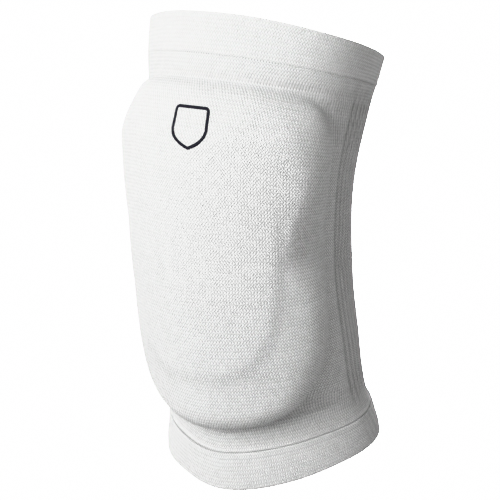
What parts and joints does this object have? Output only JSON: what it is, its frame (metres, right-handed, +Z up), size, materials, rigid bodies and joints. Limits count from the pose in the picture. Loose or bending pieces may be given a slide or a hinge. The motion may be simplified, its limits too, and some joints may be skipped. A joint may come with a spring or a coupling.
{
  "type": "volleyball knee pad",
  "caption": "Knitted sleeve knee pad with a thick shaped foam cushion in front, folded bands at both ends and ribs behind the knee, held as worn",
  "frame": {"origin": "the knee's centre inside the sleeve, on the leg's centre line, which is the knee mount", "axes": "+Z up along the leg, halfway between the thigh's and the calf's lean; -Y toward the front of the knee; +X toward one side, and the two sides are mirror images"},
  "size_m": [0.1486, 0.1557, 0.2933],
  "materials": {
    "sleeve_knit": "white knit, matte",
    "pad_foam": "soft closed foam, matte",
    "cuff_knit": "white knit, folded double, matte",
    "seam_stitch": "white stitched ridge, matte"
  },
  "bodies": {
    "root": {"sleeve": "sleeve_knit", "foam_pad": "pad_foam", "top_cuff": "cuff_knit", "bottom_cuff": "cuff_knit", "cuff_seam": "seam_stitch"}
  },
  "joints": []
}
